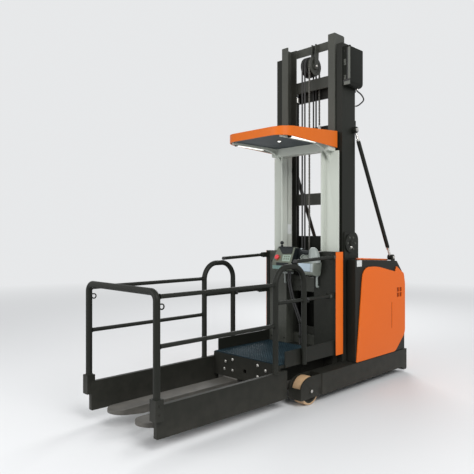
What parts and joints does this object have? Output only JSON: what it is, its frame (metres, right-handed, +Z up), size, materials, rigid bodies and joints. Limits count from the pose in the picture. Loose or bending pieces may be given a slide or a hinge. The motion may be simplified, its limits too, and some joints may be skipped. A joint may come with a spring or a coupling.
{
  "type": "electric man-up order picker with railed platform",
  "caption": "Electric warehouse order picker: a railed operator platform with forks rides on a two-stage mast above a wheeled chassis.",
  "frame": {"origin": "on the floor, under the middle of the bounding box", "axes": "+X towards the chassis body, forks point to -X; +Y to the left side; +Z up"},
  "size_m": [3.268, 1.064, 3.43],
  "materials": {
    "charcoal_paint": "satin",
    "orange_paint": "satin",
    "pale_paint": "satin",
    "grey_moulding": "matt",
    "pale_moulding": "matt",
    "floor_mat": "matt ribbed",
    "load_tyre": "smooth",
    "drive_tyre": "matt",
    "chain_steel": "oiled",
    "battery_case": "matt"
  },
  "bodies": {
    "chassis": {"chassis_frame": "charcoal_paint", "steering_bridge": "charcoal_paint", "body_housing": "charcoal_paint", "side_cover_left": "orange_paint", "side_cover_right": "orange_paint", "top_cover": "orange_paint", "rear_cover": "orange_paint", "battery": "battery_case", "mast_outer": "charcoal_paint", "mast_stay_left": "charcoal_paint", "mast_stay_right": "charcoal_paint", "mast_side_box": "charcoal_paint", "mast_hose": "drive_tyre", "chain_rear": "chain_steel"},
    "load_wheel_left": {"load_wheel_left": "load_tyre"},
    "load_wheel_right": {"load_wheel_right": "load_tyre"},
    "steering": {"drive_yoke": "charcoal_paint"},
    "drive_wheel": {"drive_wheel": "drive_tyre"},
    "inner_mast": {"mast_inner": "charcoal_paint", "mast_sheave": "charcoal_paint", "chain_front": "chain_steel"},
    "platform": {"platform_deck": "charcoal_paint", "floor_mat": "floor_mat", "fork_left": "charcoal_paint", "fork_right": "charcoal_paint", "skirt_left": "charcoal_paint", "skirt_right": "charcoal_paint", "front_frame": "charcoal_paint", "top_rail_left": "charcoal_paint", "top_rail_right": "charcoal_paint", "mid_rail_left": "charcoal_paint", "mid_rail_right": "charcoal_paint", "hoop_left": "charcoal_paint", "hoop_right": "charcoal_paint", "bulkhead_left": "charcoal_paint", "bulkhead_right": "charcoal_paint", "column_left": "charcoal_paint", "column_right": "charcoal_paint", "column_cover_left": "orange_paint", "column_cover_right": "orange_paint", "guard_frame": "pale_paint", "roof_cover": "orange_paint", "roof_lining": "charcoal_paint", "carriage": "charcoal_paint", "console_left": "grey_moulding", "console_right": "pale_moulding", "console_loom": "drive_tyre"},
    "gate_top_left": {"gate_top_left": "charcoal_paint"},
    "gate_top_right": {"gate_top_right": "charcoal_paint"},
    "gate_mid_left": {"gate_mid_left": "charcoal_paint"},
    "gate_mid_right": {"gate_mid_right": "charcoal_paint"}
  },
  "joints": [
    {"name": "load_wheel_left_roll", "type": "hinge", "parent": "chassis", "child": "load_wheel_left", "pos_m": [-0.02, 0.455, 0.1225], "axis": [0, 1, 0], "continuous": true},
    {"name": "load_wheel_right_roll", "type": "hinge", "parent": "chassis", "child": "load_wheel_right", "pos_m": [-0.02, -0.455, 0.1225], "axis": [0, 1, 0], "continuous": true},
    {"name": "drive_steer", "type": "hinge", "parent": "chassis", "child": "steering", "pos_m": [1.3, 0, 0.36], "axis": [0, 0, 1], "range_deg": [-90, 90]},
    {"name": "drive_roll", "type": "hinge", "parent": "steering", "child": "drive_wheel", "pos_m": [1.3, 0, 0.17], "axis": [0, 1, 0], "continuous": true},
    {"name": "mast_lift", "type": "slide", "parent": "chassis", "child": "inner_mast", "axis": [0, 0, 1], "range_m": [0, 2.1]},
    {"name": "platform_lift", "type": "slide", "parent": "inner_mast", "child": "platform", "axis": [0, 0, 1], "range_m": [0, 2.1]},
    {"name": "gate_top_left_lift", "type": "hinge", "parent": "platform", "child": "gate_top_left", "pos_m": [0.41, 0.445, 1.2653], "axis": [0, 1, 0], "range_deg": [0, 85]},
    {"name": "gate_mid_left_lift", "type": "hinge", "parent": "platform", "child": "gate_mid_left", "pos_m": [0.35, 0.445, 0.907], "axis": [0, 1, 0], "range_deg": [0, 85]},
    {"name": "gate_top_right_lift", "type": "hinge", "parent": "platform", "child": "gate_top_right", "pos_m": [0.41, -0.445, 1.2653], "axis": [0, 1, 0], "range_deg": [0, 85]},
    {"name": "gate_mid_right_lift", "type": "hinge", "parent": "platform", "child": "gate_mid_right", "pos_m": [0.35, -0.445, 0.907], "axis": [0, 1, 0], "range_deg": [0, 85]}
  ],
  "couplings": [
    {"joint": "platform_lift", "follows": "mast_lift", "ratio": 1},
    {"joint": "gate_mid_left_lift", "follows": "gate_top_left_lift", "ratio": 1},
    {"joint": "gate_mid_right_lift", "follows": "gate_top_right_lift", "ratio": 1}
  ]
}
